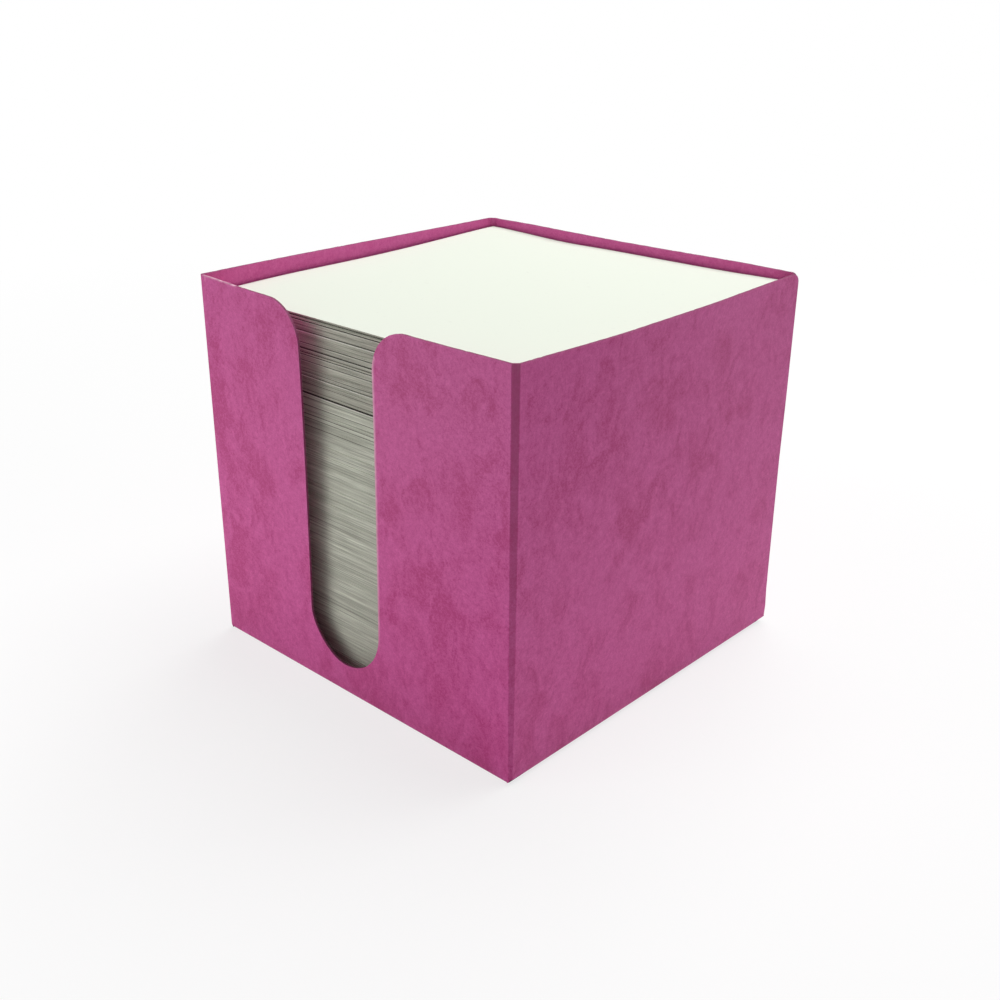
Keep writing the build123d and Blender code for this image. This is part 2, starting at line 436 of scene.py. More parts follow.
blankSettings = {
    "board": 0.5,
    "notchWidth": 22.8,
    "notchShift": -2.95,  # to the right of the wall's middle, at the middle of its round end
    "notchLean": 0.027,  # further to the right by this for each mm of height
    "notchBottom": 7.5,
    "notchCorner": 9.5,
    "notchFlat": 0.50,  # how much flatter its round end is on the left
    "freeCorner": 2.2,
    "seamCorner": (1.0, 0.35),  # cut off the back wall's upper end, along it and down
    # How far the right wall's free edge reaches past the back wall, by height
    "freeEdge": [(2, 0.4), (4.5, 0.6), (9, 0.25), (16, 0.1), (30, -0.05), (45, -0.2), (60, 0.0)],
    "pressedTop": 0.95,  # creases: length of each leg of the flat on the inner face
    "pressedBottom": 0.10,
    "pressedRise": 0.35,
    "pressedRoundness": 0.1,  # from 0, a flat, to 1, an arc
    "plainCrease": 0.40,
    "seamCrease": 0.20,
    "settling": 6.0,  # from a crease to where the inner face lies at the board's full depth
    "mainFoot": 0.30,  # height of the lower edge of the front and back walls, and of the side walls
    "sideFoot": 1.30,
    "bend": 1.0,
    "slit": 0.1,
    "flapCorner": 2.0,
    "centreGap": 0.3,
    "hookFrom": 1.5,
    "hookTo": 17.5,
    "hookReach": 14.0,
    "hookCorner": 4.0,
    "joggle": 1.5,
    "sideReach": 26.0,
    "sideCorner": 18.0,
    "seamSlant": 3.0,
    # How far the rims of the right, front, left and back walls stand out, by the distance along each
    "bows": [
        [(2, 0), (15, 0.2), (26, 0.55), (35, 0.95), (45, 1.1), (66, 1.3), (77, 0.9), (85, 0.45), (93, 0)],
        [(2, 0), (4, 0.04), (9, 0.27), (15, 0.58), (23, 0.78), (70, 1.1), (78, 0.9), (83, 0.55),
         (88, 0.2), (93, 0)],
        [(4, 0), (30, 0.3), (60, 0.3), (90, 0)],
        [(4, 0), (50, 0.25), (80, 0.2), (91, 0)],
    ],
    "bowFrom": 10,
    "bowPower": 2.3,
    # How far the rim is cut above or below its height, by the distance along the blank
    "rimLevels": [
        (180, 0), (191, 0.12), (202, 0.18), (217, 0.15), (235, 0.07), (250, -0.03), (270, -0.08),
        (283, -0.06), (289, -0.20), (300, -0.06), (312, -0.16), (330, -0.20), (345, -0.05),
        (357, 0.14), (366, 0.28), (375, 0.28),
    ],
    "farLevels": [(3, 0.33), (9, 0.22), (18, 0.10), (30, 0)],  # of the right wall, from its free edge
    "seed": 4,
}
half = cadHigh.x / mm
wallHeight = cadHigh.z / mm
side = 2 * half
board = blankSettings["board"]
bend = blankSettings["bend"]
flapLow, flapHigh = (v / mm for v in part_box("seam_flap"))
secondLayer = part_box("right_base_flap")[0].z / mm
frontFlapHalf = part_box("front_base_flap")[1].x / mm
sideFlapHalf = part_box("right_base_flap")[1].y / mm
bendLength = (bend - board / 2) * math.pi / 2
climbLength = math.hypot(blankSettings["joggle"], secondLayer)
# The legs of a crease are longer outside by this, so that the board is no thinner in its flat
creaseGain = board * (2 - math.sqrt(2))

# The walls are numbered 0 right, 1 front, 2 left, 3 back and 4 seam flap. Crease 1 joins 0 and 1.
sideWalls = (0, 2)
hookedWalls = (1, 3)
seamWall = 4
creases = (1, 2, 3, 4)
pressedCreases = (1, 3)
cornerAt = [side * wall for wall in range(seamWall)] + [3 * side + half + flapHigh.x]
blankEnd = cornerAt[seamWall] + half - flapLow.y
wallStarts = [(half, half), (half, -half), (-half, -half), (-half, half), (flapHigh.x, half)]
wallDirections = [(0, -1), (-1, 0), (0, 1), (1, 0), (0, -1)]
wallFrames = [  # start, direction along the blank, and inward
    (Vector(start), Vector((x, y)), Vector((y, -x))) for start, (x, y) in zip(wallStarts, wallDirections)
]


# The value at a place in a list of places and values, along a smooth curve through them
def between(points, x):
    after = bisect.bisect_right([point[0] for point in points], x)
    if after in (0, len(points)):
        return points[min(after, len(points) - 1)][1]
    (a, low), (b, high) = points[after - 1], points[after]
    before, beyond = points[max(after - 2, 0)], points[min(after + 1, len(points) - 1)]
    slopeLow = (high - before[1]) / (b - before[0]) * (b - a)
    slopeHigh = (beyond[1] - low) / (beyond[0] - a) * (b - a)
    t = (x - a) / (b - a)
    curve = low * (2 * t ** 3 - 3 * t ** 2 + 1) + high * (3 * t ** 2 - 2 * t ** 3)
    return curve + slopeLow * (t ** 3 - 2 * t ** 2 + t) + slopeHigh * (t ** 3 - t ** 2)


# The level on which a wall's base flap lies, and half the flap's width
def flapOf(wall):
    return (secondLayer, sideFlapHalf) if wall in sideWalls else (0.0, frontFlapHalf)


def innerLeg(crease, z):
    sizes = blankSettings
    if crease in pressedCreases:
        share = min(max(z / wallHeight, 0), 1) ** sizes["pressedRise"]
        return sizes["pressedBottom"] + (sizes["pressedTop"] - sizes["pressedBottom"]) * share
    return sizes["seamCrease"] if crease == seamWall else sizes["plainCrease"]


# How far a wall stands out of its plane
def wallBow(wall, along, z):
    low = blankSettings["bowFrom"]
    if wall == seamWall or z < low:
        return 0.0
    share = (z - low) / (wallHeight - low)
    return between(blankSettings["bows"][wall], along) * share ** blankSettings["bowPower"]


# Distance inward and height of a point of a base flap, a run past the start of its bend
def flapPlace(wall, across, run, depth):
    sizes = blankSettings
    level = flapOf(wall)[0]
    if run < bendLength:
        angle = run / bendLength * math.pi / 2
        radius = bend - board * depth
        return bend - radius * math.cos(angle), level + bend - radius * math.sin(angle)
    inward = bend + run - bendLength
    height = level + board * depth
    climbStart = half - sizes["joggle"]
    slack = sizes["slit"] / 2
    onHook = wall in hookedWalls and -sizes["hookTo"] - slack < across < -sizes["hookFrom"] + slack
    if onHook and inward > climbStart:
        share = (inward - climbStart) / climbLength
        if share < 1:
            return climbStart + sizes["joggle"] * share, height + secondLayer * share
        return half + inward - climbStart - climbLength, height + secondLayer
    return inward, height


# The place of a point of the flat blank once it is folded. Depth 0 is the outer face, 1 the inner.
def foldPoint(s, z, depth):
    wall = min(max(bisect.bisect_right(cornerAt, s) - 1, 0), seamWall)
    start, along, inward = wallFrames[wall]
    u = s - cornerAt[wall]
    if wall != seamWall:
        level, flapHalf = flapOf(wall)
        if z < level + bend and abs(u - half) < flapHalf - blankSettings["slit"] / 2:
            inset, height = flapPlace(wall, u - half, level + bend - z, depth)
            return Vector((*(start + along * u + inward * inset), height))
    for crease in (wall, wall + 1):
        if crease not in creases:
            continue
        gap = abs(s - cornerAt[crease])
        leg = innerLeg(crease, z) + creaseGain
        if gap <= leg:
            return creasePlace(crease, (s - cornerAt[crease]) / leg, z, depth)
        if depth:
            shift = (board - creaseGain) * max(0.0, 1 - (gap - leg) / blankSettings["settling"])
            u += shift if crease == wall else -shift
    return Vector((*(start + along * u + inward * (board * depth - wallBow(wall, u, z))), z))


# The place of a point in a crease's flat, where the share runs from -1 to 1 across it
def creasePlace(crease, share, z, depth):
    before, inBefore = wallFrames[crease - 1][1:]
    tip, after, inAfter = wallFrames[crease]
    tip = tip + (inBefore + inAfter) * board * depth
    leg = innerLeg(crease, z) + (0 if depth else creaseGain)
    turn = (share + 1) / 2
    angle = turn * math.pi / 2
    flat = after * leg * turn - before * leg * (1 - turn)
    arc = after * leg * (1 - math.cos(angle)) - before * leg * (1 - math.sin(angle))
    roundness = blankSettings["pressedRoundness"] if crease in pressedCreases else 1.0
    return Vector((*(tip + flat * (1 - roundness) + arc * roundness), z))


# The flat blank's outline

outlineSettings = {
    "step": 0.6,  # between points of the finished outline
    "flapArc": 5,  # parts of the arcs
    "hookArc": 7,
    "notchArc": 14,
    "notchEndArc": 32,
    "freeArc": 6,
    "nick": 0.05,
    "nickMean": 0.2,  # taken off the noise, so that more of the nicks go down than up
    "nickGrain": {"fineness": (0.5, 0.5), "layer": 3},
    "deepNick": 0.05,
    "deepNickChance": 0.03,
    "nicksFrom": 6,  # height above which the edge is a rim, and its distance kept from the creases
    "nicksClear": 2,
}


def arcPoints(middle, radius, start, end, count):
    angles = [math.radians(start + (end - start) * i / count) for i in range(count + 1)]
    return [(middle[0] + radius * math.cos(a), middle[1] + radius * math.sin(a)) for a in angles]


# Height on the flat blank of what comes to lie this far inward on a flap that starts at the top
def flatHeight(top, inward):
    return top - bendLength - (inward - bend)


# The free edge of a hooked base flap, in the direction of s
def hookedFlapEdge(middle, top):
    sizes = blankSettings
    slit, corner, c = sizes["slit"], sizes["flapCorner"], sizes["hookCorner"]
    end = flatHeight(top, half - sizes["centreGap"] / 2)
    climb = flatHeight(top, half - sizes["joggle"])
    hookEnd = climb - climbLength - sizes["hookReach"]
    left, right = middle - frontFlapHalf + slit, middle + frontFlapHalf - slit
    near, far = middle - sizes["hookTo"], middle - sizes["hookFrom"]
    flapArc, hookArc = outlineSettings["flapArc"], outlineSettings["hookArc"]
    return (
        [(left, top)]
        + arcPoints((left + corner, end + corner), corner, 180, 270, flapArc)
        + [(near - slit, end), (near - slit, climb), (near, climb)]
        + arcPoints((near + c, hookEnd + c), c, 180, 270, hookArc)
        + arcPoints((far - c, hookEnd + c), c, 270, 360, hookArc)
        + [(far, climb), (far + slit, climb), (far + slit, end)]
        + arcPoints((right - corner, end + corner), corner, 270, 360, flapArc)
        + [(right, top)]
    )


def sideFlapEdge(middle, top):
    sizes = blankSettings
    end = flatHeight(top, sizes["sideReach"])
    left, right = middle - sideFlapHalf + sizes["slit"], middle + sideFlapHalf - sizes["slit"]
    c = sizes["sideCorner"]
    tip = [(left, end + c), (left + c, end), (right - c, end), (right, end + c)]
    return [(left, top)] + tip + [(right, top)]


def bottomEdge():
    sideFoot, mainFoot = blankSettings["sideFoot"], blankSettings["mainFoot"]
    points = [(-between(blankSettings["freeEdge"], sideFoot), sideFoot)]
    for wall in range(seamWall):
        level, flapHalf = flapOf(wall)
        middle, top = cornerAt[wall] + half, level + bend
        foot, flapEdge = (sideFoot, sideFlapEdge) if wall in sideWalls else (mainFoot, hookedFlapEdge)
        points += [(middle - flapHalf, foot), (middle - flapHalf, top)]
        points += flapEdge(middle, top)
        points += [(middle + flapHalf, top), (middle + flapHalf, foot), (cornerAt[wall + 1], sideFoot)]
    return points


def seamFlapEdge():
    start, end, slant = cornerAt[seamWall], blankEnd, blankSettings["seamSlant"]
    low, high = flapLow.z, flapHigh.z
    lower = [(start, low), (end - slant, low), (end, low + slant)]
    return lower + [(end, high - slant), (end - slant, high), (start, high)]


# The notch's middle along the blank at a height
def notchMiddle(z):
    sizes = blankSettings
    lean = sizes["notchLean"] * (z - sizes["notchBottom"] - sizes["notchWidth"] / 2)
    return cornerAt[1] + half - sizes["notchShift"] - lean


# The notch's edge from left to right, which is how the rim runs on the front wall
def notchEdge():
    sizes = blankSettings
    r, c = sizes["notchWidth"] / 2, sizes["notchCorner"]
    cornerArc, endArc = outlineSettings["notchArc"], outlineSettings["notchEndArc"]
    notch = arcPoints((r + c, wallHeight - c), c, 90, 180, cornerArc)
    for i in range(endArc + 1):
        angle = math.pi * i / endArc
        reach = r - (sizes["notchFlat"] * math.sin(2 * angle) ** 2 if i < endArc / 2 else 0.0)
        notch.append((reach * math.cos(angle), sizes["notchBottom"] + r - reach * math.sin(angle)))
    notch += arcPoints((-r - c, wallHeight - c), c, 0, 90, cornerArc)
    return [(notchMiddle(z) + across, z) for across, z in notch]


# The rim from the seam back to the right wall's free corner, against the direction of s
def rimEdge():
    sizes = blankSettings
    levels, farLevels = (
        [(place, wallHeight + level) for place, level in reversed(sizes[key])]
        for key in ("rimLevels", "farLevels")
    )
    seam, top = cornerAt[seamWall], levels[0][1]
    along, down = sizes["seamCorner"]
    points = [(seam, top - down), (seam - along, top)] + levels + notchEdge() + farLevels
    c, top = sizes["freeCorner"], farLevels[-1][1]
    points += arcPoints((c, top - c), c, 90, 180, outlineSettings["freeArc"])
    return points + [(-beyond, z) for z, beyond in reversed(sizes["freeEdge"])]


def dividedEdge(points, step):
    result = []
    for a, b in zip(points, points[1:] + points[:1]):
        count = max(1, round(math.dist(a, b) / step))
        for i in range(count):
            share = i / count
            result.append((a[0] + (b[0] - a[0]) * share, a[1] + (b[1] - a[1]) * share))
    return result


# Noise on the flat blank. The fineness is per mm, and each layer has another pattern.
def noiseAt(s, z, fineness, layer):
    return noise.noise(Vector((s * fineness[0], z * fineness[1], layer)))


# Small nicks along the rim, none of them at a crease
def nickedEdge(points):
    cut = outlineSettings
    rng = random.Random(blankSettings["seed"])
    nicked = []
    for s, z in points:
        if z > cut["nicksFrom"] and all(abs(s - corner) > cut["nicksClear"] for corner in cornerAt[1:]):
            depth = cut["nick"] * (noiseAt(s, z, **cut["nickGrain"]) - cut["nickMean"])
            if rng.random() < cut["deepNickChance"]:
                depth -= cut["deepNick"]
            z += depth
        nicked.append((s, z))
    return nicked


# Wear of the dye, and the painted highlight along the rim. Where two values stand for a strength, the
# second times the noise is added.

wearAndHighlightSettings = {
    "plainCrease": 0.3,  # strength of the marks at a plain crease, against 1 at a pressed one
    "burnished": 0.8,  # share of a crease's leg
    "burnish": (0.18, 0.78),  # at the foot, and what the height adds up to the rim
    "rubbed": (1.02, 0.9),  # from this share of a crease's leg to so far past the leg
    "rub": (0.6, 0.8),
    "rubGrain": {"fineness": (1.0, 0.25), "layer": 5},
    "rimFrom": 6,  # height above which the edge is a rim
    "rimLineFrom": 6.5,
    "rimWidth": 0.35,
    "rimGrain": {"fineness": (0.9, 0.9), "layer": 7},
    "rimUneven": (0.5, 0.9),
    "rim": (0.0, 0.10),
    "leftEnd": (0.15, 0.80),  # of the front wall's rim
    "leftEndReach": (1, 14),  # from the crease
    "leftEndDown": 3,  # from the rim's height, as notchDown is
    "notch": (0.75, 0.25),
    "notchWidth": 0.75,
    "notchNear": 0.6,  # how close to the notch's straight edge a worn point lies
    "notchFade": (15.0, 23.0),  # heights between which the notch's wear sets in
    "notchDown": 5,
}


# The straight right edge of the notch, where fingers reach in, is the most worn, and its pale mark is
# also a painted highlight where side light catches the rounded edge
def atWornAndHighlitNotchEdge(s, z):
    wearAndHighlight = wearAndHighlightSettings
    onEdge = abs(s - notchMiddle(z) + blankSettings["notchWidth"] / 2) < wearAndHighlight["notchNear"]
    return onEdge and wearAndHighlight["notchFade"][0] < z < wallHeight - wearAndHighlight["notchDown"]


# How worn the rim is at a place, with its painted highlight: next after the notch's edge comes the
# front's left end
def rimWearAndHighlightAt(s, z):
    wearAndHighlight = wearAndHighlightSettings
    mean, spread = wearAndHighlight["rimUneven"]
    uneven = mean + spread * noiseAt(s, z, **wearAndHighlight["rimGrain"])
    if atWornAndHighlitNotchEdge(s, z):
        low, high = wearAndHighlight["notchFade"]
        least, added = wearAndHighlight["notch"]
        return (least + added * uneven) * min(1.0, (z - low) / (high - low))
    near, far = wearAndHighlight["leftEndReach"]
    atLeftEnd = cornerAt[2] - far < s < cornerAt[2] - near and z > wallHeight - wearAndHighlight["leftEndDown"]
    least, added = wearAndHighlight["leftEnd" if atLeftEnd else "rim"]
    return least + added * uneven


# How burnished the outer face is in the flat of a crease, and how rubbed beside it
def creaseWearAt(s, z):
    wearAndHighlight = wearAndHighlightSettings
    burnish, rub = 0.0, 0.0
    for crease in creases:
        leg = innerLeg(crease, z) + creaseGain
        gap = abs(s - cornerAt[crease])
        strength = 1.0 if crease in pressedCreases else wearAndHighlight["plainCrease"]
        if gap < leg * wearAndHighlight["burnished"]:
            burnish = strength * (wearAndHighlight["burnish"][0] + wearAndHighlight["burnish"][1] * max(z, 0) / wallHeight)
        elif leg * wearAndHighlight["rubbed"][0] < gap < leg + wearAndHighlight["rubbed"][1]:
            rub = strength * (wearAndHighlight["rub"][0] + wearAndHighlight["rub"][1] * noiseAt(s, z, **wearAndHighlight["rubGrain"]))
    return burnish, max(0.0, rub)


def markWearAndHighlight(blank, flat, rimPoints):
    marks = {"creaseWear": [], "creaseRub": [], "rimWearAndHighlight": []}
    for depth in (0, 1):
        for index, p in enumerate(flat):
            burnish, rub = (0.0, 0.0) if depth else creaseWearAt(p.x, p.y)
            onRim = index in rimPoints and p.y > wearAndHighlightSettings["rimFrom"]
            marks["creaseWear"].append(burnish)
            marks["creaseRub"].append(rub)
            marks["rimWearAndHighlight"].append(max(0.0, rimWearAndHighlightAt(p.x, p.y)) if onRim else 0.0)
    for label, values in marks.items():
        setMark(blank, label, values)


# The blank's mesh: its outline and folds, with a loose grid of points between them

meshSettings = {
    "creaseRows": 32,
    "creaseColumns": 4,  # on each leg
    "besideCrease": (-1.2, -0.12, 0.12, 1.2),  # further lines, so far past its legs
    "overRim": 0.5,  # a crease runs on past the rim, which cuts it off
    "bendRows": 6,
    "bendColumns": 16,  # on each side of the middle
    "climbColumns": 6,
    "gridStep": 3.0,
    "gridStagger": 0.25,  # shares of a step: between its rows, and kept from other points
    "gridClear": 0.45,
    "joinBelow": 1e-4,
    "sharpAngle": 30,
}


# Heights of the points on a crease. Next to each end, one lies a worn rim's width inside it.
def creaseRows(bottom, top):
    wearAndHighlight = wearAndHighlightSettings["rimWidth"]
    count = meshSettings["creaseRows"]
    inner = [bottom + wearAndHighlight + (top - bottom - 2 * wearAndHighlight) * i / count for i in range(count + 1)]
    return [bottom] + inner + [top]


def creaseLines():
    columns = meshSettings["creaseColumns"]
    lines = []
    for crease in creases:
        offsets = [("share", k / columns) for k in range(-columns, columns + 1)]
        offsets += [("beyond", distance) for distance in meshSettings["besideCrease"]]
        for kind, value in offsets:
            bottom, top = blankSettings["sideFoot"], wallHeight + meshSettings["overRim"]
            if crease == seamWall and value > 0:
                bottom, top = flapLow.z, flapHigh.z
            line = []
            for z in creaseRows(bottom, top):
                leg = innerLeg(crease, z) + creaseGain
                reach = leg * value if kind == "share" else math.copysign(leg + abs(value), value)
                line.append((cornerAt[crease] + reach, z))
            lines.append(line)
    return lines


def flapLines():
    sizes, mesh = blankSettings, meshSettings
    rows, columns = mesh["bendRows"], mesh["bendColumns"]
    lines = []
    for wall in range(seamWall):
        level, flapHalf = flapOf(wall)
        middle, top = cornerAt[wall] + half, level + bend
        reach = flapHalf - sizes["slit"]
        for i in range(rows + 1):
            z = top - bendLength * i / rows
            lines.append([(middle + reach * k / columns, z) for k in range(-columns, columns + 1)])
        if wall in hookedWalls:
            climb = flatHeight(top, half - sizes["joggle"])
            near, far = middle - sizes["hookTo"], middle - sizes["hookFrom"]
            count = mesh["climbColumns"]
            for z in (climb, climb - climbLength):
                lines.append([(near + (far - near) * k / count, z) for k in range(count + 1)])
    return lines


# A second line just inside the rim, which carries its wear and painted highlight
def wearAndHighlightLine(edge):
    points = []
    for i, p in enumerate(edge):
        before, after = Vector(edge[i - 1]), Vector(edge[(i + 1) % len(edge)])
        if min(p[1], before[1], after[1]) > wearAndHighlightSettings["rimLineFrom"]:
            across = (after - before).normalized().orthogonal()
            width = wearAndHighlightSettings["notchWidth" if atWornAndHighlitNotchEdge(*p) else "rimWidth"]
            points.append(Vector(p) + across * width)
    return points


# A staggered grid over the whole blank, without the places close to the points given
def gridPoints(points):
    step = meshSettings["gridStep"]
    lowest = min(p.y for p in points)
    taken = kdtree.KDTree(len(points))
    for i, p in enumerate(points):
        taken.insert((p.x, p.y, 0), i)
    taken.balance()
    grid = []
    for column in range(int(blankEnd / step) + 1):
        for row in range(int((wallHeight - lowest) / step) + 1):
            stagger = meshSettings["gridStagger"] * (row % 2)
            p = Vector(((column + 0.5 + stagger) * step, lowest + (row + 0.5) * step))
            if taken.find((p.x, p.y, 0))[2] > step * meshSettings["gridClear"]:
                grid.append(p)
    return grid


def cutFlatBlank():
    outline = bottomEdge() + seamFlapEdge() + rimEdge()
    edge = nickedEdge(dividedEdge(outline, outlineSettings["step"]))
    boundary = list(range(len(edge)))
    edges = list(zip(boundary, boundary[1:] + boundary[:1]))
    points = [Vector(p) for p in edge] + wearAndHighlightLine(edge)
    for line in creaseLines() + flapLines():
        first = len(points)
        points += [Vector(p) for p in line]
        edges += [(first + i, first + i + 1) for i in range(len(line) - 1)]
    points += gridPoints(points)
    insideOnly = 1
    mesh = delaunay_2d_cdt(points, edges, [boundary], insideOnly, meshSettings["joinBelow"])
    flat, flatFaces = mesh[0], mesh[2]
    used = sorted({i for face in flatFaces for i in face})
    place = {old: new for new, old in enumerate(used)}
    return [flat[i] for i in used], [[place[i] for i in face] for face in flatFaces]


def makeFoldedBlank():
    flat, flatFaces = cutFlatBlank()
    count = len(flat)
    print("blank cut flat:", count, "points,", len(flatFaces), "faces")
    verts = [foldPoint(p.x, p.y, depth) for depth in (0, 1) for p in flat]
    used = set()
    for face in flatFaces:
        used.update(zip(face, face[1:] + face[:1]))
    rim = sorted((a, b) for a, b in used if (b, a) not in used)
    faces = [list(face) for face in flatFaces]
    faces += [[i + count for i in reversed(face)] for face in flatFaces]
    faces += [[b, a, a + count, b + count] for a, b in rim]
    slots = [0] * len(flatFaces) + [1] * len(flatFaces) + [2] * len(rim)
    blank = newPiece("folded_blank", verts, faces, [boardOuter, boardInner, cutEdge], slots)
    markWearAndHighlight(blank, flat, {a for a, _ in rim})
    return blank


foldedBlank = makeFoldedBlank()
shadeByAngle(foldedBlank, meshSettings["sharpAngle"])
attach(foldedBlank, "holder")
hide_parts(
    "front_wall", "right_wall", "back_wall", "left_wall", "seam_flap",
    "front_base_flap", "back_base_flap", "right_base_flap", "left_base_flap",
)
for name in ("seam_glue", "base_glue"):
    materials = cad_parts[name].data.materials
    materials.clear()
    materials.append(driedGlue)
print("blank folded")


# The paper. Sheets are laid up two at a time as thin closed slabs, in groups that slid together.

paperSettings = {
    "pointsPerSide": 24,
    "slab": 0.2,
    "slit": 0.004,  # air between slabs
    "slabShift": 0.012,
    "turn": 0.0006,  # of a group of slabs or of one of the top sheets, in radians
    "groove": 0.06,  # the most that a sheet really stands back
    "waveSize": 14,  # of the waves along a cut side, which fade towards its ends
    "wavePower": 0.3,
    "phases": 90,
    "tilt": (0.0095, 0.0178),  # rise of the top sheet per mm to the right and to the back
    "rise": 0.07,  # of the whole top sheet
    "lifts": [  # where the top sheets curl: x, y, reach in x, reach in y, rise
        (-47, 47, 15, 26, 0.60),
        (47, 47, 14, 20, 0.35),
        (-20, 47, 9, 15, -0.20),
        (-47, -28, 13, 24, 0.50),
        (-8, -44, 14, 12, 0.02),
    ],
    "liftPower": 1.2,
    "ripple": 0.10,
    "rippleSize": (50, 50, 9),
    "rippleFrom": 1.1,  # height where the ripple starts, and how far above it is full
    "rippleOver": 6,
}
packets = {
    "lower_batch": {
        "name": "lower_packet",
        "groupSlabs": (2, 6),
        "groupShift": 0.06,
        "wave": 0.04,
        "uneven": 0.03,
        "grooveChance": 0.20,
        "grooveDepth": (0.04, 0.14),
        # Depth under the packet's top, and how deep the line there looks in painted shade, or how far it
        # stands out in a painted highlight
        "marks": [
            (0.1, -0.12), (0.9, 0.20), (2.7, 0.25), (3.9, 0.15), (4.7, 0.25), (5.7, 0.25), (7.5, 0.25),
        ],
        "seed": 21,
    },
    "upper_batch": {
        "name": "upper_packet",
        "groupSlabs": (2, 5),
        "groupShift": 0.05,
        "wave": 0.03,
        "uneven": 0.06,
        "grooveChance": 0.06,
        "grooveDepth": (0.06, 0.12),
        "marks": [
            (0.5, 0.38), (0.7, -0.05), (1.7, 0.16), (2.7, 0.12), (2.9, 0.34), (3.1, -0.14), (3.9, 0.16),
            (5.7, 0.45), (5.9, -0.05), (6.9, 0.28), (7.1, 0.45), (7.3, -0.06), (7.9, 0.28), (8.5, 0.45),
            (8.7, -0.07), (9.9, 0.34), (10.1, -0.07), (11.7, 0.14), (12.5, 0.24), (12.7, -0.05),
            (13.3, 0.30), (13.5, -0.12), (14.3, 0.14), (15.1, 0.24), (16.7, 0.22), (17.2, 0.40),
            (17.4, 0.60),
        ],
        "seed": 33,
    },
}
stackLow, stackHigh = (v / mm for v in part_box("upper_batch"))
stackMiddle = (stackLow + stackHigh) / 2
sheetHalf = (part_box("sheet_1")[1].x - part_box("sheet_1")[0].x) / mm / 2
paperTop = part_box("sheet_8")[1].z / mm


# How much the paper rises or sinks at a place: the loose upper packet by its tilt and its curls,
# and all of it by a low ripple
def paperLift(x, y, z):
    paper = paperSettings
    rise = paper["tilt"][0] * x + paper["tilt"][1] * y + paper["rise"]
    for middleX, middleY, reachX, reachY, height in paper["lifts"]:
        rise += height * math.exp(-((x - middleX) / reachX) ** 2 - ((y - middleY) / reachY) ** 2)
    share = min(max((z - stackLow.z) / (paperTop - stackLow.z), 0), 1)
    sizeX, sizeY, sizeZ = paper["rippleSize"]
    ripple = paper["ripple"] * noise.noise(Vector((x / sizeX, y / sizeY, z / sizeZ)))
    ripple *= min(1.0, max(z - paper["rippleFrom"], 0) / paper["rippleOver"])
    return rise * share ** paper["liftPower"] + ripple


# Outline of one slab: four sides from corner to corner. The inset stands them back.
def sheetSides(shift, turn, inset, wave, phase):
    paper = paperSettings
    count = paper["pointsPerSide"]
    corners = [Vector(corner) * sheetHalf for corner in ((-1, -1), (1, -1), (1, 1), (-1, 1))]
    normals = [Vector((0, -1)), Vector((1, 0)), Vector((0, 1)), Vector((-1, 0))]
    sides = []
    for a, b, normal in zip(corners, corners[1:] + corners[:1], normals):
        line = []
        for i in range(count + 1):
            p = a.lerp(b, i / count)
            ripple = wave * noise.noise(Vector((p.x / paper["waveSize"], p.y / paper["waveSize"], phase)))
            share = math.sin(math.pi * i / count) ** paper["wavePower"] if 0 < i < count else 0.0
            p = (p + normal * ripple * share) * (1 - inset / sheetHalf)
            line.append(Vector((p.x - turn * p.y, p.y + turn * p.x)) + shift + stackMiddle.xy)
        sides.append(line)
    return sides


def newStack():
    return {"verts": [], "faces": [], "slots": [], "depths": []}


# Adds one closed slab to the stack. With cells, its two faces are grids that can follow a curl.
# Its faces have slot 0 and its cut sides slot 1.
def addSlab(stack, inset, sides, low, high, cells):
    verts, faces, slots, depths = stack.values()
    ring = [p for line in sides for p in line[:-1]]
    first, total = len(verts), len(ring)
    for z in (low, high):
        verts += [(p.x, p.y, z + paperLift(p.x, p.y, z)) for p in ring]
    for i in range(total):
        j = (i + 1) % total
        faces.append([first + i, first + j, first + total + j, first + total + i])
        slots.append(1)
    if cells:
        addGridFace(stack, sides, low, first, False)
        addGridFace(stack, sides, high, first + total, True)
    else:
        faces.append([first + i for i in reversed(range(total))])
        faces.append([first + total + i for i in range(total)])
        slots += [0, 0]
    # The inset is kept for the painted shade or highlight of the slab's sides
    depths += [inset] * (len(verts) - first)


# Fills a slab's lower or upper face with a grid that blends its four sides
def addGridFace(stack, sides, z, first, upper):
    verts, faces, slots, _ = stack.values()
    count = paperSettings["pointsPerSide"]
    front, right, back, left = sides
    index = {}
    for i in range(count):
        index[(i, 0)] = first + i
        index[(count, i)] = first + count + i
        index[(count - i, count)] = first + 2 * count + i
        index[(0, count - i)] = first + 3 * count + i
    for i in range(1, count):
        for j in range(1, count):
            u, v = i / count, j / count
            p = front[i].lerp(back[count - i], v) + left[count - j].lerp(right[j], u)
            p -= front[0].lerp(front[count], u).lerp(back[count].lerp(back[0], u), v)
            index[(i, j)] = len(verts)
            verts.append((p.x, p.y, z + paperLift(p.x, p.y, z)))
    for i in range(count):
        for j in range(count):
            cell = [index[(i, j)], index[(i + 1, j)], index[(i + 1, j + 1)], index[(i, j + 1)]]
            faces.append(cell if upper else cell[::-1])
            slots.append(0)


def newPaper(name, node, stack):
    edge = paperEdges.get(node, paperEdges["upper_batch"])
    piece = newPiece(name, stack["verts"], stack["faces"], [paperFace, edge], stack["slots"])
    setMark(piece, "setBack", stack["depths"])
    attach(piece, node)
    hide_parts(node)
    return piece


def scattered(rng, spread, back=0.0):
    return Vector((rng.gauss(0, spread), rng.gauss(0, spread) + back))


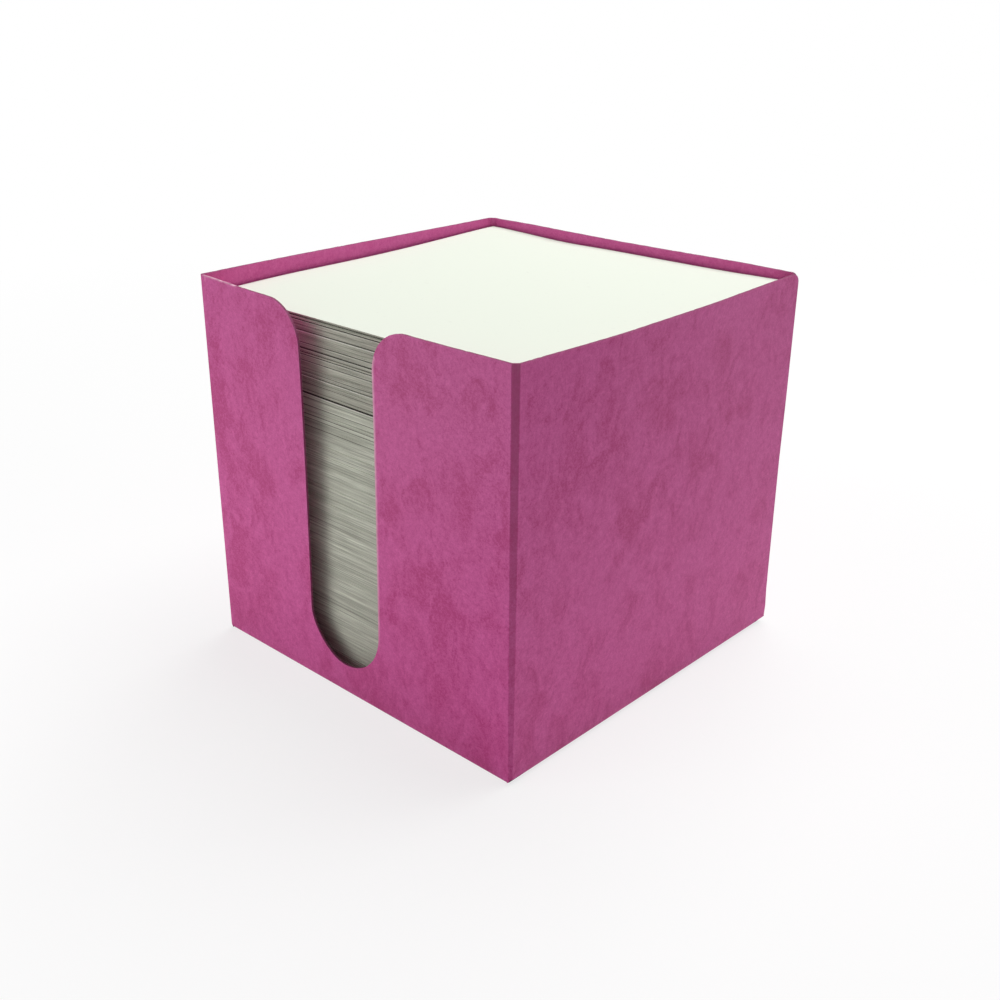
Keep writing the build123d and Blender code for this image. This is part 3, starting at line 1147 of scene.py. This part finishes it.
def makePacket(node):
    packet = packets[node]
    rng = random.Random(packet["seed"])
    low, high = (v.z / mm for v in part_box(node))
    count = round((high - low) / paperSettings["slab"])
    thickness = (high - low) / count
    stack = newStack()
    leftInGroup = 0
    for i in range(count):
        if leftInGroup == 0:
            leftInGroup = rng.randint(*packet["groupSlabs"])
            groupShift = scattered(rng, packet["groupShift"])
            turn = rng.gauss(0, paperSettings["turn"])
            phase = rng.uniform(0, paperSettings["phases"])
        leftInGroup -= 1
        grooved = rng.random() < packet["grooveChance"]
        inset = rng.uniform(*packet["grooveDepth"]) if grooved else rng.uniform(0, packet["uneven"])
        under = high - (low + (i + 0.5) * thickness)
        for depth, reach in packet["marks"]:
            if abs(under - depth) < thickness / 2:
                inset = reach
        shift = groupShift + scattered(rng, paperSettings["slabShift"])
        sides = sheetSides(shift, turn, min(inset, paperSettings["groove"]), packet["wave"], phase)
        bottom = low + i * thickness
        top = bottom + thickness - paperSettings["slit"]
        addSlab(stack, inset, sides, bottom, top, i in (0, count - 1))
    newPaper(packet["name"], node, stack)
    print(packet["name"], "laid up from", count, "slabs")


for node in packets:
    makePacket(node)

topSheetSettings = {
    "shift": 0.05,
    "wave": 0.03,
    "setBack": (0.0, 0.15, 0.42, 0.34, 0.10, 0.05, 0.08, 0.0),  # of each sheet, from sheet 1 up, which also sets its painted shade
    "sharpAngle": 40,
    "seed": 8,
}


def makeTopSheets():
    sheet = topSheetSettings
    rng = random.Random(sheet["seed"])
    for i, setBack in enumerate(sheet["setBack"], 1):
        node = f"sheet_{i}"
        low, high = (v.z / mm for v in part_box(node))
        shift = scattered(rng, sheet["shift"], min(setBack, paperSettings["groove"]))
        turn = rng.gauss(0, paperSettings["turn"])
        sides = sheetSides(shift, turn, 0.0, sheet["wave"], rng.uniform(0, paperSettings["phases"]))
        stack = newStack()
        addSlab(stack, setBack, sides, low, high - paperSettings["slit"], True)
        shadeByAngle(newPaper(f"memo_sheet_{i}", node, stack), sheet["sharpAngle"])


makeTopSheets()
print("paper laid up")


# Floor, light and camera

floorSettings = {
    "reach": 6.0,  # half its width, in metres
    "lit": (0.90, 0.90, 0.90, 1),
    "seen": (0.25, 0.25, 0.25, 1),
    "glow": 0.75,
    "fade": (0.14, 0.45),  # from here to there, in metres, the floor as seen turns plain white
    "roughness": 0.9,
    "specular": 0.0,
}


# How much a ray comes straight from the camera, or by a gloss or through glass
def addSeen(tree):
    path = tree.nodes.new("ShaderNodeLightPath").outputs
    seen = addMath(tree, "ADD", path["Is Camera Ray"], path["Is Glossy Ray"], True)
    return addMath(tree, "ADD", seen, path["Is Transmission Ray"], True)


def makeFloor():
    floor = floorSettings
    material, tree, shader = newMaterial("paleFloor", floor)
    seen = addSeen(tree)
    distance = addNode(tree, "ShaderNodeVectorMath", {0: addPlace(tree)}, operation="LENGTH")
    far = addRange(tree, distance.outputs["Value"], *floor["fade"])
    near = addMix(tree, far, floor["seen"], (0, 0, 0, 1))
    glow = addRange(tree, far, 0.0, 1.0, floor["glow"], 1.0)
    fill(tree, shader, {
        "Base Color": addMix(tree, seen, floor["lit"], near),
        "Emission Color": (1, 1, 1, 1),
        "Emission Strength": addMath(tree, "MULTIPLY", seen, glow),
    })
    r = floor["reach"] / mm
    corners = [(-r, -r, 0), (r, -r, 0), (r, r, 0), (-r, r, 0)]
    newPiece("pale_floor", corners, [(0, 1, 2, 3)], [material])


lightSettings = {
    "world": 0.16,
    "lamps": [  # place in metres, side of the lamp in metres, watts
        ((0.0, 0.5, 0.916), 1.0, 11.4),
        ((-0.272, -0.747, 0.473), 0.62, 1.20),
        ((-0.085, -0.190, 0.020), 0.1, 0.066),
    ],
    "aim": (0.0, 0.0, 0.05),  # where all the lamps point, in metres
}


def makeLight():
    world = bpy.data.worlds.new("studio")
    bpy.context.scene.world = world
    world.use_nodes = True
    tree = world.node_tree
    strength = addRange(tree, addSeen(tree), 0.0, 1.0, lightSettings["world"], 1.0)
    fill(tree, tree.nodes["Background"], {"Color": (1, 1, 1, 1), "Strength": strength})
    for index, (place, size, watts) in enumerate(lightSettings["lamps"]):
        data = bpy.data.lights.new(f"softLamp{index}", "AREA")
        data.shape = "SQUARE"
        data.size = size
        data.energy = watts
        lamp = bpy.data.objects.new(f"softLamp{index}", data)
        lamp.location = place
        back = Vector(place) - Vector(lightSettings["aim"])
        lamp.rotation_mode = "QUATERNION"
        lamp.rotation_quaternion = back.to_track_quat("Z", "Y")
        bpy.context.scene.collection.objects.link(lamp)


cameraSettings = {
    "position": (187.27, -202.68, 155.40),
    "azimuth": 42.732,
    "elevation": 23.693,
    "roll": 0.534,
    "lens": 44.662,
    "sensor": 36.0,
    "clip": (0.01, 50),  # in metres
}


def makeCamera():
    view = cameraSettings
    data = bpy.data.cameras.new("photoCamera")
    data.lens = view["lens"]
    data.sensor_fit = "HORIZONTAL"
    data.sensor_width = view["sensor"]
    data.clip_start, data.clip_end = view["clip"]
    camera = bpy.data.objects.new("photoCamera", data)
    a, e, r = (math.radians(view[key]) for key in ("azimuth", "elevation", "roll"))
    back = Vector((math.sin(a) * math.cos(e), -math.cos(a) * math.cos(e), math.sin(e)))
    right = (-back).cross(Vector((0, 0, 1))).normalized()
    up = right.cross(-back)
    rolledRight = right * math.cos(r) + up * math.sin(r)
    rolledUp = up * math.cos(r) - right * math.sin(r)
    turn = Matrix((rolledRight, rolledUp, back)).transposed()
    camera.matrix_world = Matrix.Translation(Vector(view["position"]) * mm) @ turn.to_4x4()
    bpy.context.scene.collection.objects.link(camera)
    bpy.context.scene.camera = camera


makeFloor()
makeLight()
makeCamera()
bpy.context.scene.view_settings.view_transform = "Standard"
print("floor, light and camera set")
